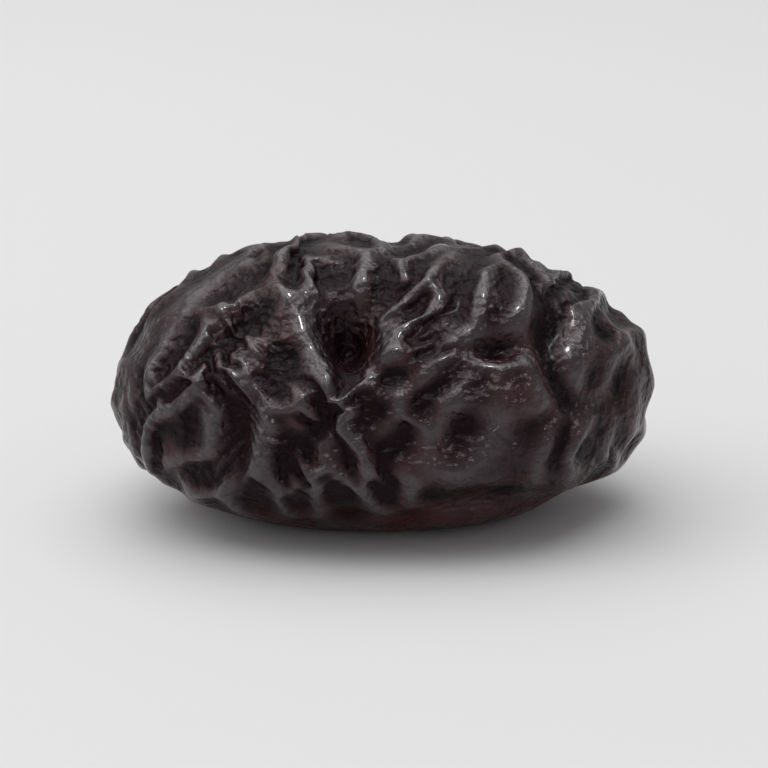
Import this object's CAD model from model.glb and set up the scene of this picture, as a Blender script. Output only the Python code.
"""The looks of a dried cherry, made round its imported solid.

The solid gives the fruit's body, its broad hollows and the flat spot that it rests on. Here a
fine skin is laid over it and grown too large for it three times, in broad folds, fine folds and
hair folds, so that it wrinkles as the skin of a drying fruit does.
"""

import logging
import math
from dataclasses import dataclass, field
from enum import Enum

import bmesh
import bpy
import numpy as np
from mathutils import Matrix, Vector, noise
from mathutils.bvhtree import BVHTree


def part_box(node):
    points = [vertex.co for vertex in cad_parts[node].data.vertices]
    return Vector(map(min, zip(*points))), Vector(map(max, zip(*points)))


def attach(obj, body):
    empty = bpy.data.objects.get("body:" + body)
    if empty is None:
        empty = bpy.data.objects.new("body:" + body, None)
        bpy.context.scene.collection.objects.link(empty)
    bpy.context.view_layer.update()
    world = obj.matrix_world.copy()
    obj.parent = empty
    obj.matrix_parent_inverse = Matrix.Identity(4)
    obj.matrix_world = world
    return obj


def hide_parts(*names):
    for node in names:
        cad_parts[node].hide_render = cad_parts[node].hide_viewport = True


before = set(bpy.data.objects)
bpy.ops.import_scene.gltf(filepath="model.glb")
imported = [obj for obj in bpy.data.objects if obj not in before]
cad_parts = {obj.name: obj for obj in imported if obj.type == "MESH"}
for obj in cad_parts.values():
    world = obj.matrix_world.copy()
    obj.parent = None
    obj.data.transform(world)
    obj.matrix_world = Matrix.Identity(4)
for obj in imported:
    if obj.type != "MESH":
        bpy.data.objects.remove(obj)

LOG = logging.getLogger("dried_cherry")
MM = 0.001

SEED_STRIDE = (17.1, 5.3, 2.9)
LEAST_LENGTH = 1e-9

# The sockets that go by number, because their nodes have several of one name.
MIX_SHARE, MIX_UNDER, MIX_OVER, MIXED_COLOUR = 0, 6, 7, 2
TIMES_WHAT, TIMES_BY, PLUS_WHAT = 0, 1, 2


class FoldSize(Enum):
    """The sizes of folds that the skin gets, in this order."""

    BROAD = "about 1 mm wide"
    FINE = "about 0.5 mm wide"
    HAIR = "about 0.3 mm wide"


def linear_colour(code: str) -> tuple[float, float, float, float]:
    """Turns an sRGB hex colour to linear.

    Args:
        code: six hex digits, such as "a0b1c2".

    Returns:
        Linear red, green, blue and an alpha of 1.
    """
    parts = [int(code[place : place + 2], 16) / 255.0 for place in (0, 2, 4)]
    linear = [c / 12.92 if c <= 0.04045 else ((c + 0.055) / 1.055) ** 2.4 for c in parts]
    return (linear[0], linear[1], linear[2], 1.0)


def smooth_rise(value: np.ndarray, low: float, high: float) -> np.ndarray:
    """Returns 0 below low, 1 above high and a smooth rise between."""
    share = np.clip((value - low) / (high - low), 0.0, 1.0)
    return share * share * (3.0 - 2.0 * share)


def noise_at(points: np.ndarray, size: float, seed: int) -> np.ndarray:
    """Samples smooth noise.

    Args:
        points: one point a row, in millimetres.
        size: the width of the noise's bumps, in millimetres.
        seed: moves the noise, so that each use has its own.

    Returns:
        A value from -1 to 1 for each point.
    """
    shift = Vector([seed * stride for stride in SEED_STRIDE])
    return np.array([noise.noise(Vector(point) / size + shift) for point in points])


@dataclass
class SkinMesh:
    """A closed triangle mesh as arrays, in millimetres.

    Args:
        points: one vertex a row.
        faces: three vertex numbers a row.

    Attributes:
        around: each vertex's neighbours a row, with the vertex itself in unused places.
        valence: how many neighbours each vertex has.
    """

    points: np.ndarray
    faces: np.ndarray
    around: np.ndarray = field(init=False)
    valence: np.ndarray = field(init=False)

    def __post_init__(self) -> None:
        """Lists each vertex's neighbours."""
        sides = np.vstack([self.faces[:, [0, 1]], self.faces[:, [1, 2]], self.faces[:, [2, 0]]])
        sides = sides[np.argsort(sides[:, 0], kind="stable")]
        count = len(self.points)
        self.valence = np.bincount(sides[:, 0], minlength=count)
        start = np.concatenate([[0], np.cumsum(self.valence)[:-1]])
        place = np.arange(len(sides)) - start[sides[:, 0]]
        self.around = np.repeat(np.arange(count)[:, None], self.valence.max(), axis=1)
        self.around[sides[:, 0], place] = sides[:, 1]

    def pull(self, values: np.ndarray) -> np.ndarray:
        """Measures how far each vertex's value is from its neighbours' mean.

        Args:
            values: a number or a point for each vertex.

        Returns:
            The neighbours' mean less the value, for each vertex.
        """
        total = values[self.around].sum(axis=1)
        spare = self.around.shape[1] - self.valence
        if values.ndim == 2:
            return (total - spare[:, None] * values) / self.valence[:, None] - values
        return (total - spare * values) / self.valence - values

    def smoothed(self, values: np.ndarray, passes: int, share: float = 0.5) -> np.ndarray:
        """Evens values out over the mesh.

        Args:
            values: a number or a point for each vertex.
            passes: how many times they are evened out.
            share: how far each pass moves a value towards its neighbours' mean.

        Returns:
            The evened values.
        """
        for _ in range(passes):
            values = values + share * self.pull(values)
        return values

    def normals(self) -> np.ndarray:
        """Works out which way the surface faces.

        Returns:
            Each vertex's outward direction, of length 1.
        """
        corners = self.points[self.faces]
        flat = np.cross(corners[:, 1] - corners[:, 0], corners[:, 2] - corners[:, 0])
        total = np.zeros_like(self.points)
        for corner in range(3):
            for axis in range(3):
                total[:, axis] += np.bincount(
                    self.faces[:, corner], flat[:, axis], len(self.points)
                )
        return total / np.linalg.norm(total, axis=1, keepdims=True)

    def refined(self, cuts: int) -> "SkinMesh":
        """Makes a finer mesh of the same shape.

        Args:
            cuts: how many places each edge is cut in.

        Returns:
            The mesh with each edge cut into cuts + 1 equal parts.
        """
        mesh = bpy.data.meshes.new("refining")
        mesh.from_pydata(self.points.tolist(), [], self.faces.tolist())
        worked = bmesh.new()
        worked.from_mesh(mesh)
        bpy.data.meshes.remove(mesh)
        bmesh.ops.subdivide_edges(worked, edges=worked.edges[:], cuts=cuts, use_grid_fill=True)
        bmesh.ops.triangulate(worked, faces=worked.faces[:])
        return SkinMesh.taken_from(worked)

    @staticmethod
    def taken_from(worked: bmesh.types.BMesh) -> "SkinMesh":
        """Reads a bmesh of triangles, and frees it.

        Args:
            worked: the bmesh.

        Returns:
            Its points and triangles as arrays.
        """
        worked.verts.index_update()
        points = np.array([vertex.co for vertex in worked.verts])
        faces = np.array([[vertex.index for vertex in face.verts] for face in worked.faces])
        worked.free()
        return SkinMesh(points, faces)


@dataclass(frozen=True)
class SkinGrowth:
    """How a skin buckles when it is too large for the flesh that it is fixed to.

    Args:
        extra: how much longer each edge of the skin wants to be, as a share.
        steps: how many steps the growth takes.
        stiffness: how much the skin resists bending.
        hold: how firmly the flesh holds the skin in place.
        seed_height: the height of the unevenness that the folds start from, in millimetres.
        seed_size: and its width.
        seed: moves that unevenness.
        bed: how much more firmly the flesh holds a fold that presses into it.
        grain: 0 where the skin is too large every way alike, 1 where it is so in one direction
            only, which gives folds that run side by side.
        sway_size: how far it is, in millimetres, until that direction has turned.
        steady: how much of that direction stays along the fruit. More makes it turn less.
        ramp: the share of the steps in which the skin grows.
        step_share: how far each step corrects the edges' lengths.
    """

    extra: float
    steps: int
    stiffness: float
    hold: float
    seed_height: float
    seed_size: float
    seed: int
    bed: float = 0.0
    grain: float = 0.0
    sway_size: float = 3.0
    steady: float = 0.45
    ramp: float = 0.6
    step_share: float = 1.6

    def buckled(self, skin: SkinMesh, where: np.ndarray) -> np.ndarray:
        """Grows the skin.

        Args:
            skin: the skin as it lies on the flesh.
            where: how much of the growth each vertex takes part in, from 0 to 1.

        Returns:
            The vertices' new points.
        """
        flesh = skin.points
        outward = skin.normals()
        start = self.seed_height * noise_at(flesh, self.seed_size, self.seed) * where
        points = flesh + outward * start[:, None]
        away = flesh[skin.around] - flesh[:, None, :]
        rest = np.linalg.norm(away, axis=2)
        grow = self.extra * (where[skin.around] + where[:, None]) / 2.0
        grow *= 1.0 + self.grain * (2.0 * self.alignment(flesh, away, rest) - 1.0)
        curve = skin.pull(flesh)
        part = (self.step_share / 2.0) / skin.valence[:, None]
        for step in range(self.steps):
            grown = rest * (1.0 + grow * min(1.0, (step + 1) / (self.steps * self.ramp)))
            away = points[skin.around] - points[:, None, :]
            length = np.maximum(np.linalg.norm(away, axis=2), LEAST_LENGTH)
            too_long = (length - grown) / length
            points = points + (too_long[:, :, None] * away).sum(axis=1) * part
            bend = skin.pull(skin.pull(points) - curve)
            points = points - self.stiffness * bend
            points = points + self.hold * (flesh - points)
            pressed = np.minimum(((points - flesh) * outward).sum(axis=1), 0.0)
            points = points - (self.bed * pressed)[:, None] * outward
        return points

    def alignment(self, flesh: np.ndarray, away: np.ndarray, rest: np.ndarray) -> np.ndarray:
        """Compares the edges with the direction that the skin is too large in.

        Args:
            flesh: each vertex's place on the flesh.
            away: the way from each vertex to each of its neighbours.
            rest: how long each of those is.

        Returns:
            How much each edge runs in that direction, from 0 to 1.
        """
        sway = [noise_at(flesh, self.sway_size, self.seed + shift) for shift in (1, 2)]
        course = np.stack([np.full(len(flesh), self.steady), sway[0], sway[1]], axis=1)
        course /= np.linalg.norm(course, axis=1, keepdims=True)
        along = (away * course[:, None, :]).sum(axis=2) / np.maximum(rest, LEAST_LENGTH)
        return along * along


@dataclass(frozen=True)
class FoldLevels:
    """How a wrinkled skin is measured against its own smoothed form.

    Args:
        form_passes: how many smoothing passes give the form that heights are measured from.
        reach: how many edges away the highest and lowest points are looked for.
        blend_passes: how many smoothing passes even those out.
    """

    form_passes: int
    reach: int
    blend_passes: int

    def relief(self, skin: SkinMesh) -> tuple[np.ndarray, np.ndarray, np.ndarray, np.ndarray]:
        """Measures the skin's folds.

        Args:
            skin: the wrinkled skin.

        Returns:
            The form's normals, each point's height over it, and the level there of the ridges'
            tops and of the hollows' floors.
        """
        form = SkinMesh(skin.smoothed(skin.points, self.form_passes), skin.faces)
        outward = form.normals()
        height = ((skin.points - form.points) * outward).sum(axis=1)
        top = height
        floor = height
        for _ in range(self.reach):
            top = np.maximum(top, top[skin.around].max(axis=1))
            floor = np.minimum(floor, floor[skin.around].min(axis=1))
        top = skin.smoothed(top, self.blend_passes)
        floor = skin.smoothed(floor, self.blend_passes)
        return outward, height, top, floor


@dataclass(frozen=True)
class CrestShape(FoldLevels):
    """Narrow ridges whose tops are level, with wide hollows between them.

    Args:
        form_passes: as in FoldLevels.
        reach: as in FoldLevels.
        blend_passes: as in FoldLevels.
        power: below 1 it narrows the ridges and widens the hollows.
        roundness: how much of a ridge's top stays round.
        gain: how deep the hollows get, as a share of their own depth.
        spare_share: how much a top keeps of its height over the level of the tops around it.
        least_depth: the depth in millimetres that the shallowest folds count as.
    """

    power: float
    roundness: float
    gain: float
    spare_share: float = 0.5
    least_depth: float = 0.01

    def shaped(self, skin: SkinMesh, share: np.ndarray) -> np.ndarray:
        """Gives the ridges their shape.

        Args:
            skin: the wrinkled skin.
            share: how much of the change each point gets, from 0 to 1.

        Returns:
            The vertices' new points.
        """
        outward, height, top, floor = self.relief(skin)
        depth = np.maximum(top - floor, self.least_depth)
        drop = np.clip((top - height) / depth, 0.0, 1.0)
        low = self.roundness**self.power
        high = (1.0 + self.roundness) ** self.power
        shaped = ((drop + self.roundness) ** self.power - low) / (high - low)
        spare = np.maximum(height - top, 0.0) * self.spare_share
        wanted = top + spare - self.gain * depth * shaped
        return skin.points + outward * ((wanted - height) * share)[:, None]


GROWTHS: dict[FoldSize, SkinGrowth] = {
    FoldSize.BROAD: SkinGrowth(
        extra=0.12,
        steps=500,
        stiffness=0.03,
        hold=0.009,
        seed_height=0.10,
        seed_size=1.3,
        seed=4,
        bed=0.02,
        grain=0.9,
    ),
    FoldSize.FINE: SkinGrowth(
        extra=0.14,
        steps=250,
        stiffness=0.12,
        hold=0.006,
        seed_height=0.06,
        seed_size=0.7,
        seed=9,
        grain=0.7,
    ),
    FoldSize.HAIR: SkinGrowth(
        extra=0.08,
        steps=120,
        stiffness=0.05,
        hold=0.012,
        seed_height=0.04,
        seed_size=0.3,
        seed=15,
    ),
}

# Hair folds stay as they grew.
CRESTS: dict[FoldSize, CrestShape] = {
    FoldSize.BROAD: CrestShape(
        form_passes=250, reach=6, blend_passes=25, power=0.5, roundness=0.04, gain=0.55
    ),
    FoldSize.FINE: CrestShape(
        form_passes=150, reach=8, blend_passes=40, power=0.8, roundness=0.10, gain=1.0
    ),
}

FOLD_MARKS = FoldLevels(form_passes=130, reach=7, blend_passes=25)


@dataclass(frozen=True)
class TightPatch:
    """A patch where the skin stayed tight over the flesh.

    Args:
        middle: its middle, in millimetres.
        reach: how far from there it ends, in millimetres.
        tightness: how much wrinkling it takes away, from 0 to 1.
        core: the share of the reach within which it is as tight all over.
    """

    middle: tuple[float, float, float]
    reach: float
    tightness: float
    core: float = 0.4


@dataclass
class CherrySkin:
    """The fruit's whole skin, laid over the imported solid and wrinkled.

    Args:
        node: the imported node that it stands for.
        ball_subdivisions: how fine the ball of triangles is that is laid onto the solid.
        cast_from: how far outside the solid's box that laying starts, in millimetres.
        soften_coarse: the smoothing passes that follow.
        fine_cuts: in how many places each edge is cut for the fine folds.
        soften_fine: the smoothing passes that follow.
        calm_low: up to this height in millimetres the skin is smooth.
        calm_high: and from here up it is wrinkled.
        loose_patch: the width in millimetres of the patches that are wrinkled more.
        loose_seed: moves those patches.
        loose_from: the noise value at which such a patch begins.
        loose_to: and the one from which it is full.
        least_wrinkled: how much the skin between them is wrinkled.
        hair_patch: the width in millimetres of the patches that have hair folds.
        hair_seed: moves those patches.
        hair_from: the noise value at which such a patch begins.
        hair_to: and the one from which it is full.
        clear_fold: a fold of at least this depth in millimetres is marked in full.
        tight: the patches on the front and the right end that are smooth in the photograph.
    """

    node: str = "dried_cherry"
    ball_subdivisions: int = 6
    cast_from: float = 4.0
    soften_coarse: int = 5
    fine_cuts: int = 2
    soften_fine: int = 4
    calm_low: float = 0.15
    calm_high: float = 2.8
    loose_patch: float = 4.0
    loose_seed: int = 47
    loose_from: float = -0.35
    loose_to: float = 0.1
    least_wrinkled: float = 0.5
    hair_patch: float = 2.2
    hair_seed: int = 31
    hair_from: float = -0.3
    hair_to: float = 0.3
    clear_fold: float = 0.25
    tight: tuple[TightPatch, ...] = (
        TightPatch((3.5, -5.6, 4.0), 1.9, 0.9),
        TightPatch((5.8, -3.6, 5.6), 1.9, 0.95),
        TightPatch((3.5, -5.2, 1.8), 2.4, 0.7),
        TightPatch((-1.4, -3.3, 6.5), 1.8, 1.0),
        TightPatch((6.9, -2.8, 4.4), 1.8, 0.8),
        TightPatch((8.2, -0.8, 4.2), 3.0, 0.95),
        TightPatch((0.2, -5.2, 6.4), 1.1, 0.7),
    )

    def build(self) -> bpy.types.Object:
        """Makes the wrinkled skin as an object that stands for the solid.

        Returns:
            The object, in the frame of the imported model.
        """
        skin = self.flesh(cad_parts[self.node])
        self.fold(skin, FoldSize.BROAD)
        skin = skin.refined(self.fine_cuts)
        skin.points = skin.smoothed(skin.points, self.soften_fine)
        self.fold(skin, FoldSize.FINE)
        self.fold(skin, FoldSize.HAIR)
        self.fit(skin)
        mesh = bpy.data.meshes.new("cherry_skin")
        mesh.from_pydata((skin.points * MM).tolist(), [], skin.faces.tolist())
        mesh.shade_smooth()
        self.mark_folds(skin, mesh)
        piece = bpy.data.objects.new("cherry_skin", mesh)
        bpy.context.scene.collection.objects.link(piece)
        return piece

    def flesh(self, solid: bpy.types.Object) -> SkinMesh:
        """Lays an even ball of triangles onto the solid.

        Args:
            solid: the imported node.

        Returns:
            The even mesh, with its points on the solid.
        """
        graph = bpy.context.evaluated_depsgraph_get()
        tree = BVHTree.FromObject(solid, graph)
        low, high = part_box(self.node)
        middle = np.array((low + high) / 2.0)
        half = np.array((high - low) / 2.0)
        ball = bmesh.new()
        bmesh.ops.create_icosphere(ball, subdivisions=self.ball_subdivisions, radius=1.0)
        mesh = SkinMesh.taken_from(ball)
        inner = mesh.points * half
        inward = -mesh.points / half
        inward /= np.linalg.norm(inward, axis=1, keepdims=True)
        for number, (offset, direction) in enumerate(zip(inner, inward)):
            start = Vector(middle + offset - direction * self.cast_from * MM)
            hit = tree.ray_cast(start, Vector(direction))[0]
            mesh.points[number] = np.array(hit) / MM
        mesh.points = mesh.smoothed(mesh.points, self.soften_coarse)
        return mesh

    def fold(self, skin: SkinMesh, size: FoldSize) -> None:
        """Wrinkles the skin with folds of one size.

        Args:
            skin: the skin, changed in place.
            size: the folds' size.
        """
        skin.points = GROWTHS[size].buckled(skin, self.wrinkling(skin.points, size))
        if size in CRESTS:
            skin.points = CRESTS[size].shaped(skin, self.wrinkling(skin.points, size))

    def wrinkling(self, points: np.ndarray, size: FoldSize) -> np.ndarray:
        """Says where the skin wrinkles: not below, and less in the tight patches.

        Args:
            points: the skin's points, in millimetres.
            size: the folds' size. Hair folds come in patches of their own.

        Returns:
            How much each point wrinkles, from 0 to 1.
        """
        share = smooth_rise(points[:, 2], self.calm_low, self.calm_high)
        loose = noise_at(points, self.loose_patch, self.loose_seed)
        loose = smooth_rise(loose, self.loose_from, self.loose_to)
        share *= self.least_wrinkled + (1.0 - self.least_wrinkled) * loose
        for patch in self.tight:
            away = np.linalg.norm(points - np.array(patch.middle), axis=1)
            free = smooth_rise(away, patch.core * patch.reach, patch.reach)
            share *= 1.0 - patch.tightness * (1.0 - free)
        if size is FoldSize.HAIR:
            hairy = noise_at(points, self.hair_patch, self.hair_seed)
            share *= smooth_rise(hairy, self.hair_from, self.hair_to)
        return share

    def fit(self, skin: SkinMesh) -> None:
        """Brings the skin to the solid's own box, and lays its underside flat on the ground.

        Args:
            skin: the wrinkled skin, changed in place.
        """
        low, high = (np.array(corner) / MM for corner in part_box(self.node))
        skin.points[:, 2] = np.maximum(skin.points[:, 2], 0.0)
        skin_low = skin.points.min(axis=0)
        skin_high = skin.points.max(axis=0)
        share = (skin.points - skin_low) / (skin_high - skin_low)
        skin.points = low + share * (high - low)

    def mark_folds(self, skin: SkinMesh, mesh: bpy.types.Mesh) -> None:
        """Stores where the ridges and the hollows are.

        Args:
            skin: the finished skin.
            mesh: gets the attribute "ridge", 1 on a ridge's top, 0 on a hollow's floor and a
                half where the skin is smooth.
        """
        _, height, top, floor = FOLD_MARKS.relief(skin)
        above = height - (top + floor) / 2.0
        share = np.clip(0.5 + above / np.maximum(top - floor, self.clear_fold), 0.0, 1.0)
        marks = mesh.attributes.new("ridge", "FLOAT", "POINT")
        marks.data.foreach_set("value", share.astype(np.float32))

    def dress(self, piece: bpy.types.Object) -> None:
        """Gives the skin its finish."""
        piece.data.materials.append(DriedCherrySkin().material())


def add_node(
    tree: bpy.types.NodeTree, kind: str, settings: dict | None = None, inputs: dict | None = None
) -> bpy.types.Node:
    """Adds a node, sets it and links it.

    Args:
        tree: the node tree.
        kind: the node's type name.
        settings: attribute name to value.
        inputs: input name or number to a value, or to the output socket that feeds it.

    Returns:
        The new node.
    """
    node = tree.nodes.new(kind)
    for name, value in (settings or {}).items():
        setattr(node, name, value)
    for name, value in (inputs or {}).items():
        if isinstance(value, bpy.types.NodeSocket):
            tree.links.new(value, node.inputs[name])
        else:
            node.inputs[name].default_value = value
    return node


@dataclass(frozen=True)
class Span:
    """How one measure turns into another, evenly between two ends and level beyond them.

    Args:
        start: the first measure's lower end.
        end: its upper end.
        at_start: the second measure there and below.
        at_end: the second measure there and above.
    """

    start: float
    end: float
    at_start: float
    at_end: float

    def sockets(self) -> dict[str, float]:
        """Names the ends as a Map Range node does.

        Returns:
            The node's inputs to their values.
        """
        return {
            "From Min": self.start,
            "From Max": self.end,
            "To Min": self.at_start,
            "To Max": self.at_end,
        }


@dataclass(frozen=True)
class DriedCherrySkin:
    """The skin of a sweet cherry that was dried until it is leathery, with a trace of oil.

    The eye sees a near-black fruit. What light the flesh gives back is a deep wine red, which
    shows on thin folds and at the low rim. Over it lies the grey sheen of the waxy skin, soft
    because the skin is finely creased, and sharper on the ridges, where oil has stayed.

    Args:
        name: the material's name.
        flesh: the darkest flesh.
        ripe: the flesh of the patches that dried less dark.
        thin: a fold that light gets through.
        rim: the low rim, which is as thin.
        dull: the wax on a ridge.
        sheen_tint: the tint of the sheen.
        patch_mm: how wide the patches of colour are.
        rim_mm: how high the rim's red goes.
        rim_full_mm: up to where it is full.
        mottle_mm: how wide the patches of more and less gloss are.
        crease_mm: how far apart the skin's creases are.
        crease_height_mm: and how deep.
        crease_roundness: how round they are, from 0 to 1.
        bend_mm: how far apart the bends in the creases are.
        bend_width_mm: and how far they go.
        grain_mm: how wide the skin's grains are. Real ones are about 0.03 mm, too fine to show,
            so they are drawn as coarse as they need to show.
        grain_height_mm: and how high they are, drawn larger by as much.
        ripeness: the noise to the share of ripe flesh.
        redness: the noise to how red the thin places are.
        thin_folds: the fold mark to the share of the thin colour.
        waxy_ridges: the fold mark to the share of wax.
        depth: the fold mark to how much light goes through the skin.
        glow_radius: how far red, green and blue go in it, as shares of glow_mm.
        glow_mm: how far red light goes.
        gloss: the mottling to the sheen's roughness.
        sheen: the fold mark to how strong the sheen is.
        plain_sheen: how strong it is in an export, which drops a sheen that varies.
        ior: that of plant wax.
        oil: the fold mark to how much oil has stayed.
        oil_roughness: how matt that oil is.
    """

    name: str = "dried_cherry_skin"
    flesh: str = "0d0306"
    ripe: str = "18050a"
    thin: str = "360911"
    rim: str = "4c0812"
    dull: str = "1a1017"
    sheen_tint: str = "f8eaef"
    patch_mm: float = 2.0
    rim_mm: float = 1.9
    rim_full_mm: float = 0.2
    mottle_mm: float = 0.45
    crease_mm: float = 0.30
    crease_height_mm: float = 0.12
    crease_roundness: float = 0.5
    bend_mm: float = 0.8
    bend_width_mm: float = 0.6
    grain_mm: float = 0.10
    grain_height_mm: float = 0.04
    ripeness: Span = Span(0.35, 0.65, 1.0, 0.0)
    redness: Span = Span(0.42, 0.6, 0.15, 0.95)
    thin_folds: Span = Span(0.3, 0.6, 0.0, 1.0)
    waxy_ridges: Span = Span(0.5, 0.85, 0.0, 0.95)
    depth: Span = Span(0.1, 0.6, 0.02, 0.2)
    glow_radius: tuple[float, float, float] = (1.0, 0.12, 0.08)
    glow_mm: float = 0.6
    gloss: Span = Span(0.3, 0.7, 0.27, 0.43)
    sheen: Span = Span(0.22, 0.75, 0.12, 0.78)
    plain_sheen: float = 0.45
    ior: float = 1.45
    oil: Span = Span(0.5, 0.95, 0.04, 0.8)
    oil_roughness: float = 0.12

    def material(self) -> bpy.types.Material:
        """Builds the material.

        Returns:
            The finished material.
        """
        skin = bpy.data.materials.new(self.name)
        skin.use_nodes = True
        tree = skin.node_tree
        shader = tree.nodes["Principled BSDF"]
        place = add_node(tree, "ShaderNodeTexCoord").outputs["Object"]
        ridge = add_node(tree, "ShaderNodeAttribute", {"attribute_name": "ridge"}).outputs["Fac"]
        self.add_colour(tree, shader, place, ridge)
        self.add_sheen(tree, shader, place, ridge)
        self.add_creases(tree, shader, place)
        return skin

    def add_colour(
        self,
        tree: bpy.types.NodeTree,
        shader: bpy.types.Node,
        place: bpy.types.NodeSocket,
        ridge: bpy.types.NodeSocket,
    ) -> None:
        """Colours the skin: redder on thin folds and low down, duller where waxy.

        Args:
            tree: the material's nodes.
            shader: its shader.
            place: the point on the fruit.
            ridge: the fold mark.
        """
        patch = add_node(
            tree,
            "ShaderNodeTexNoise",
            inputs={"Vector": place, "Scale": 1.0 / (self.patch_mm * MM), "Detail": 3.0},
        ).outputs["Fac"]
        height = add_node(tree, "ShaderNodeSeparateXYZ", inputs={"Vector": place}).outputs["Z"]
        redness = add_node(
            tree, "ShaderNodeMapRange", inputs={"Value": patch, **self.redness.sockets()}
        ).outputs["Result"]
        rim = Span(self.rim_full_mm * MM, self.rim_mm * MM, 1.0, 0.0)
        body = linear_colour(self.flesh)
        for colour, measure, shares in (
            (self.ripe, patch, self.ripeness.sockets()),
            (self.thin, ridge, self.thin_folds.sockets() | {"To Max": redness}),
            (self.dull, ridge, self.waxy_ridges.sockets()),
            (self.rim, height, rim.sockets() | {"To Min": redness}),
        ):
            share = add_node(tree, "ShaderNodeMapRange", inputs={"Value": measure, **shares})
            body = add_node(
                tree,
                "ShaderNodeMix",
                {"data_type": "RGBA"},
                {
                    MIX_SHARE: share.outputs["Result"],
                    MIX_UNDER: body,
                    MIX_OVER: linear_colour(colour),
                },
            ).outputs[MIXED_COLOUR]
        tree.links.new(body, shader.inputs["Base Color"])
        depth = add_node(
            tree, "ShaderNodeMapRange", inputs={"Value": ridge, **self.depth.sockets()}
        )
        tree.links.new(depth.outputs["Result"], shader.inputs["Subsurface Weight"])
        shader.inputs["Subsurface Radius"].default_value = self.glow_radius
        shader.inputs["Subsurface Scale"].default_value = self.glow_mm * MM

    def add_sheen(
        self,
        tree: bpy.types.NodeTree,
        shader: bpy.types.Node,
        place: bpy.types.NodeSocket,
        ridge: bpy.types.NodeSocket,
    ) -> None:
        """Gives the skin its uneven satin gloss, and the oil that stays on the ridges.

        Args:
            tree: the material's nodes.
            shader: its shader.
            place: the point on the fruit.
            ridge: the fold mark.
        """
        mottle = add_node(
            tree,
            "ShaderNodeTexNoise",
            inputs={"Vector": place, "Scale": 1.0 / (self.mottle_mm * MM), "Detail": 2.0},
        ).outputs["Fac"]
        shader.inputs["Specular IOR Level"].default_value = self.plain_sheen
        for socket, measure, span in (
            ("Roughness", mottle, self.gloss),
            ("Specular IOR Level", ridge, self.sheen),
            ("Coat Weight", ridge, self.oil),
        ):
            level = add_node(
                tree, "ShaderNodeMapRange", inputs={"Value": measure, **span.sockets()}
            )
            tree.links.new(level.outputs["Result"], shader.inputs[socket])
        shader.inputs["IOR"].default_value = self.ior
        shader.inputs["Specular Tint"].default_value = linear_colour(self.sheen_tint)
        shader.inputs["Coat Roughness"].default_value = self.oil_roughness

    def add_creases(
        self, tree: bpy.types.NodeTree, shader: bpy.types.Node, place: bpy.types.NodeSocket
    ) -> None:
        """Adds the creases of the skin's surface and its grain.

        Args:
            tree: the material's nodes.
            shader: its shader.
            place: the point on the fruit.
        """
        bends = add_node(
            tree,
            "ShaderNodeTexNoise",
            inputs={"Vector": place, "Scale": 1.0 / (self.bend_mm * MM), "Detail": 2.0},
        )
        bent_place = add_node(
            tree,
            "ShaderNodeVectorMath",
            {"operation": "MULTIPLY_ADD"},
            {
                TIMES_WHAT: bends.outputs["Color"],
                TIMES_BY: (self.bend_width_mm * MM,) * 3,
                PLUS_WHAT: place,
            },
        )
        creases = add_node(
            tree,
            "ShaderNodeTexVoronoi",
            {"feature": "SMOOTH_F1"},
            {
                "Vector": bent_place.outputs["Vector"],
                "Scale": 1.0 / (self.crease_mm * MM),
                "Smoothness": self.crease_roundness,
            },
        )
        grain = add_node(
            tree,
            "ShaderNodeTexNoise",
            inputs={"Vector": place, "Scale": 1.0 / (self.grain_mm * MM), "Detail": 3.0},
        )
        coarse = add_node(
            tree,
            "ShaderNodeBump",
            inputs={
                "Height": creases.outputs["Distance"],
                "Distance": self.crease_height_mm * MM,
                "Strength": 1.0,
            },
        )
        fine = add_node(
            tree,
            "ShaderNodeBump",
            inputs={
                "Height": grain.outputs["Fac"],
                "Distance": self.grain_height_mm * MM,
                "Strength": 1.0,
                "Normal": coarse.outputs["Normal"],
            },
        )
        tree.links.new(fine.outputs["Normal"], shader.inputs["Normal"])


@dataclass(frozen=True)
class WhitePaper:
    """Uncoated white paper, rolled out as a studio floor.

    The eye sees a plain pale ground without any shine, on which the fruit's shadow lies soft.

    Args:
        name: the material's name.
        white: its colour, which keeps a little under full white.
        roughness: that of paper that hasn't been pressed smooth.
    """

    name: str = "white_paper"
    white: str = "e7e7e7"
    roughness: float = 0.9

    def material(self) -> bpy.types.Material:
        """Builds the material.

        Returns:
            The finished material.
        """
        paper = bpy.data.materials.new(self.name)
        paper.use_nodes = True
        shader = paper.node_tree.nodes["Principled BSDF"]
        shader.inputs["Base Color"].default_value = linear_colour(self.white)
        shader.inputs["Roughness"].default_value = self.roughness
        return paper


@dataclass(frozen=True)
class SoftBox:
    """A square light.

    Args:
        name: its name.
        place: its middle, in millimetres.
        size: its side, in millimetres.
        power: in watts.
        glints_only: whether it shows in reflections alone, so that it throws no shadow.
    """

    name: str
    place: tuple[float, float, float]
    size: float
    power: float
    glints_only: bool = False


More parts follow.
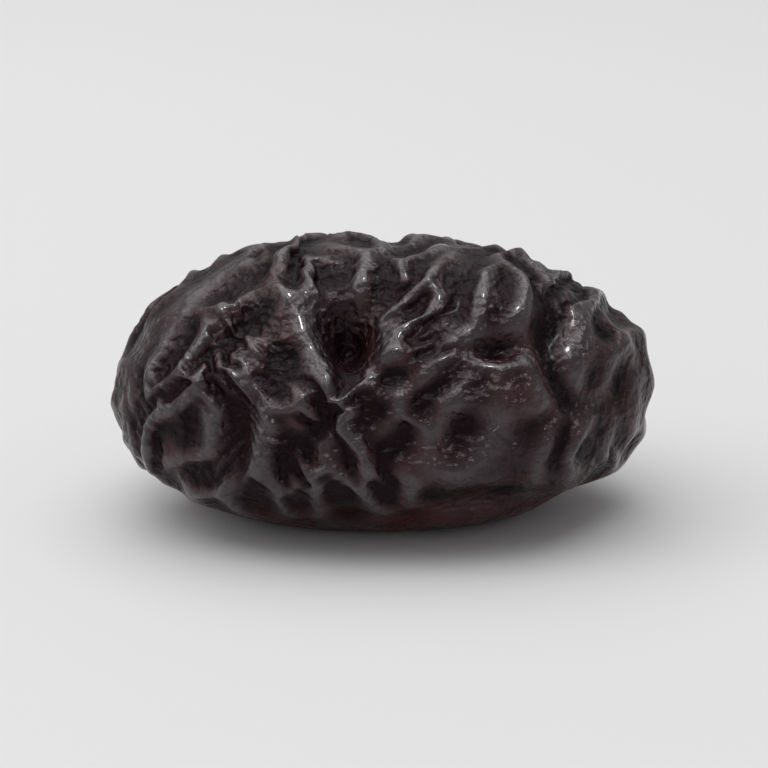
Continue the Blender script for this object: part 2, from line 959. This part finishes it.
@dataclass
class Studio:
    """The pale floor, soft lights and camera.

    Args:
        eye_elevation: the camera's height above the horizon, in degrees.
        eye_distance: from the camera to the fruit, in millimetres.
        lens: the camera's focal length, in millimetres.
        sees_from: the nearest that the camera sees, in metres.
        sees_to: and the farthest.
        aim: the place on the fruit that camera and lights face, in millimetres.
        floor_size: the floor's side, in metres.
        room_colour: the colour of the light that the room's walls give back.
        room_light: and its strength.
        boxes: the soft boxes.
    """

    eye_elevation: float = 17.0
    eye_distance: float = 68.0
    lens: float = 100.0
    sees_from: float = 0.001
    sees_to: float = 10.0
    aim: tuple[float, float, float] = (0.0, 0.0, 3.9)
    floor_size: float = 2.0
    room_colour: str = "ffffff"
    room_light: float = 0.37
    boxes: tuple[SoftBox, ...] = (
        SoftBox("above", (-60.0, 50.0, 400.0), 600.0, 1.51),
        SoftBox("window", (40.0, -40.0, 260.0), 30.0, 0.2, glints_only=True),
        SoftBox("left", (-220.0, -40.0, 160.0), 160.0, 0.1),
    )

    def camera(self) -> None:
        """Makes the scene's camera at the photograph's angle."""
        data = bpy.data.cameras.new("eye")
        data.lens = self.lens
        data.clip_start = self.sees_from
        data.clip_end = self.sees_to
        eye = bpy.data.objects.new("eye", data)
        bpy.context.scene.collection.objects.link(eye)
        up = math.radians(self.eye_elevation)
        back = Vector((0.0, -math.cos(up), math.sin(up)))
        eye.location = Vector(self.aim) * MM + back * self.eye_distance * MM
        eye.rotation_euler = back.to_track_quat("Z", "Y").to_euler()
        bpy.context.scene.camera = eye

    def floor(self) -> bpy.types.Object:
        """Makes the pale floor.

        Returns:
            The floor's object.
        """
        half = self.floor_size / 2.0
        mesh = bpy.data.meshes.new("floor")
        corners = [(-half, -half, 0.0), (half, -half, 0.0), (half, half, 0.0), (-half, half, 0.0)]
        mesh.from_pydata(corners, [], [(0, 1, 2, 3)])
        mesh.materials.append(WhitePaper().material())
        floor = bpy.data.objects.new("floor", mesh)
        bpy.context.scene.collection.objects.link(floor)
        return floor

    def lights(self) -> None:
        """Hangs the soft boxes and sets the room's own light."""
        for box in self.boxes:
            self.hang(box)
        world = bpy.data.worlds.new("room")
        world.use_nodes = True
        backdrop = world.node_tree.nodes["Background"]
        backdrop.inputs["Color"].default_value = linear_colour(self.room_colour)
        backdrop.inputs["Strength"].default_value = self.room_light
        bpy.context.scene.world = world
        bpy.context.scene.view_settings.view_transform = "Standard"

    def hang(self, box: SoftBox) -> None:
        """Hangs one soft box that faces the fruit.

        Args:
            box: the soft box.
        """
        data = bpy.data.lights.new(box.name, "AREA")
        data.size = box.size * MM
        data.energy = box.power
        light = bpy.data.objects.new(box.name, data)
        light.location = Vector(box.place) * MM
        towards = light.location - Vector(self.aim) * MM
        light.rotation_euler = towards.to_track_quat("Z", "Y").to_euler()
        light.visible_diffuse = not box.glints_only
        bpy.context.scene.collection.objects.link(light)


def main() -> None:
    """Builds the scene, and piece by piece."""
    logging.basicConfig(level=logging.INFO)
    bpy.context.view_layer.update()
    studio = Studio()
    studio.camera()
    floor = studio.floor()
    studio.lights()
    LOG.info("%s is laid under %d soft boxes", floor.name, len(studio.boxes))
    cherry = CherrySkin()
    skin = cherry.build()
    cherry.dress(skin)
    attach(skin, "root")
    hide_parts("dried_cherry")
    LOG.info("%s has %d faces", skin.name, len(skin.data.polygons))


if __name__ == "__main__":
    main()
